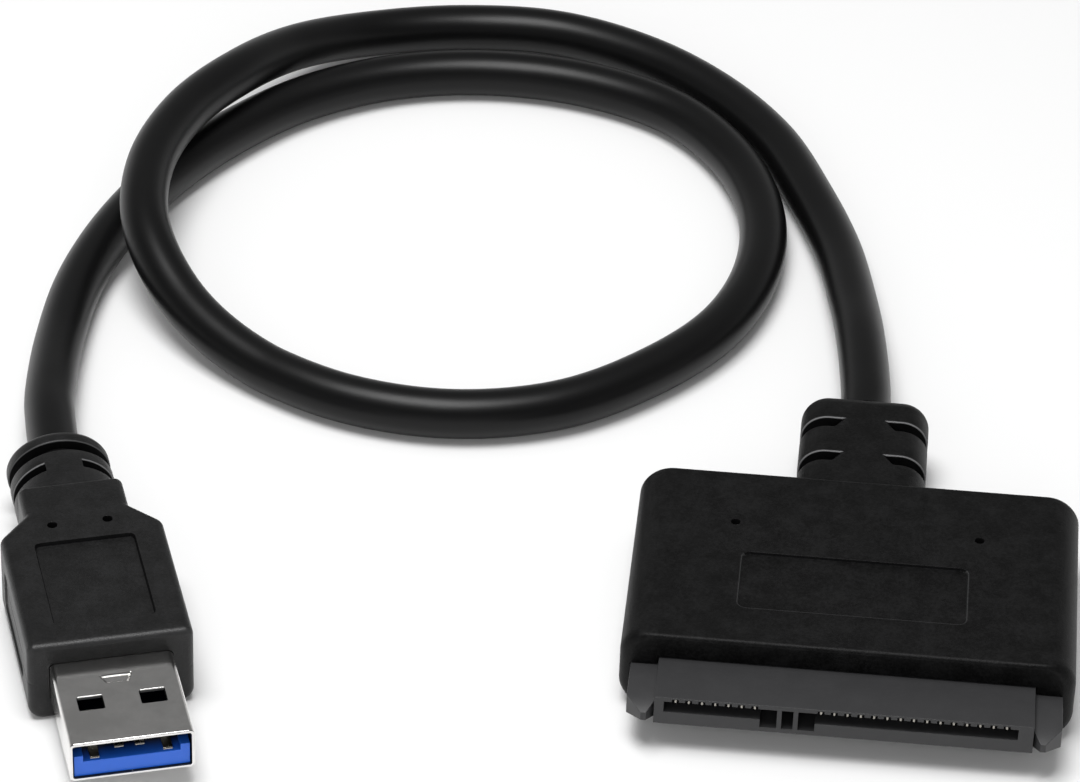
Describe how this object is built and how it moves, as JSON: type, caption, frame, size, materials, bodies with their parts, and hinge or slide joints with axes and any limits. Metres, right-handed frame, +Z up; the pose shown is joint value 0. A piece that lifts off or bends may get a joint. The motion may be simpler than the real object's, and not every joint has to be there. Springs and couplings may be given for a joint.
{
  "type": "usb to sata adapter",
  "caption": "Adapter lead with a moulded drive connector at one end and a USB plug at the other, joined by a round cord with a loop.",
  "frame": {"origin": "on the desk under the middle of the drive end, from the guide ears' tips to the neck's end", "axes": "-Y out of the drive connector's mouth, +Z up, the drive end's neck points along +Y"},
  "size_m": [0.1099, 0.1415, 0.0112],
  "materials": {
    "black_moulding": "fine matt moulded texture",
    "cord_jacket": "satin PVC jacket",
    "connector_plastic": "smooth moulded, slight sheen",
    "inner_plastic": "low-pressure moulding, matt",
    "plug_steel": "bright nickel-plated sheet",
    "blue_insulator": "smooth moulded",
    "contact_gold": "thin gold plating",
    "board_green": "solder resist",
    "chip_black": "moulded package",
    "ceramic_tan": "fired ceramic",
    "wire_red": "insulation",
    "wire_grey": "foil-screened pair",
    "wire_white": "insulation",
    "wire_green": "insulation",
    "wire_black": "insulation"
  },
  "bodies": {
    "root": {"sata_housing": "black_moulding", "usb_grip": "black_moulding", "cord": "cord_jacket", "sata_connector": "connector_plastic", "sata_inner_moulding": "inner_plastic", "usb_inner_moulding": "inner_plastic", "usb_shell": "plug_steel", "usb_shield_can": "plug_steel", "usb_insulator": "blue_insulator", "circuit_board": "board_green", "bridge_chip": "chip_black", "inductor": "chip_black", "regulator": "chip_black", "crystal": "plug_steel", "capacitor_1": "ceramic_tan", "capacitor_2": "ceramic_tan", "signal_contact_1": "contact_gold", "signal_contact_2": "contact_gold", "signal_contact_3": "contact_gold", "signal_contact_4": "contact_gold", "signal_contact_5": "contact_gold", "signal_contact_6": "contact_gold", "signal_contact_7": "contact_gold", "power_contact_1": "contact_gold", "power_contact_2": "contact_gold", "power_contact_3": "contact_gold", "power_contact_4": "contact_gold", "power_contact_5": "contact_gold", "power_contact_6": "contact_gold", "power_contact_7": "contact_gold", "power_contact_8": "contact_gold", "power_contact_9": "contact_gold", "power_contact_10": "contact_gold", "power_contact_11": "contact_gold", "power_contact_12": "contact_gold", "power_contact_13": "contact_gold", "power_contact_14": "contact_gold", "power_contact_15": "contact_gold", "usb_blade_1": "contact_gold", "usb_blade_2": "contact_gold", "usb_blade_3": "contact_gold", "usb_blade_4": "contact_gold", "usb_spring_1": "contact_gold", "usb_spring_2": "contact_gold", "usb_spring_3": "contact_gold", "usb_spring_4": "contact_gold", "usb_spring_5": "contact_gold", "board_wire_red": "wire_red", "board_wire_pair_1": "wire_grey", "board_wire_white": "wire_white", "board_wire_green": "wire_green", "board_wire_pair_2": "wire_grey", "board_wire_black": "wire_black", "plug_wire_red": "wire_red", "plug_wire_pair_1": "wire_grey", "plug_wire_white": "wire_white", "plug_wire_green": "wire_green", "plug_wire_pair_2": "wire_grey", "plug_wire_black": "wire_black"}
  },
  "joints": []
}
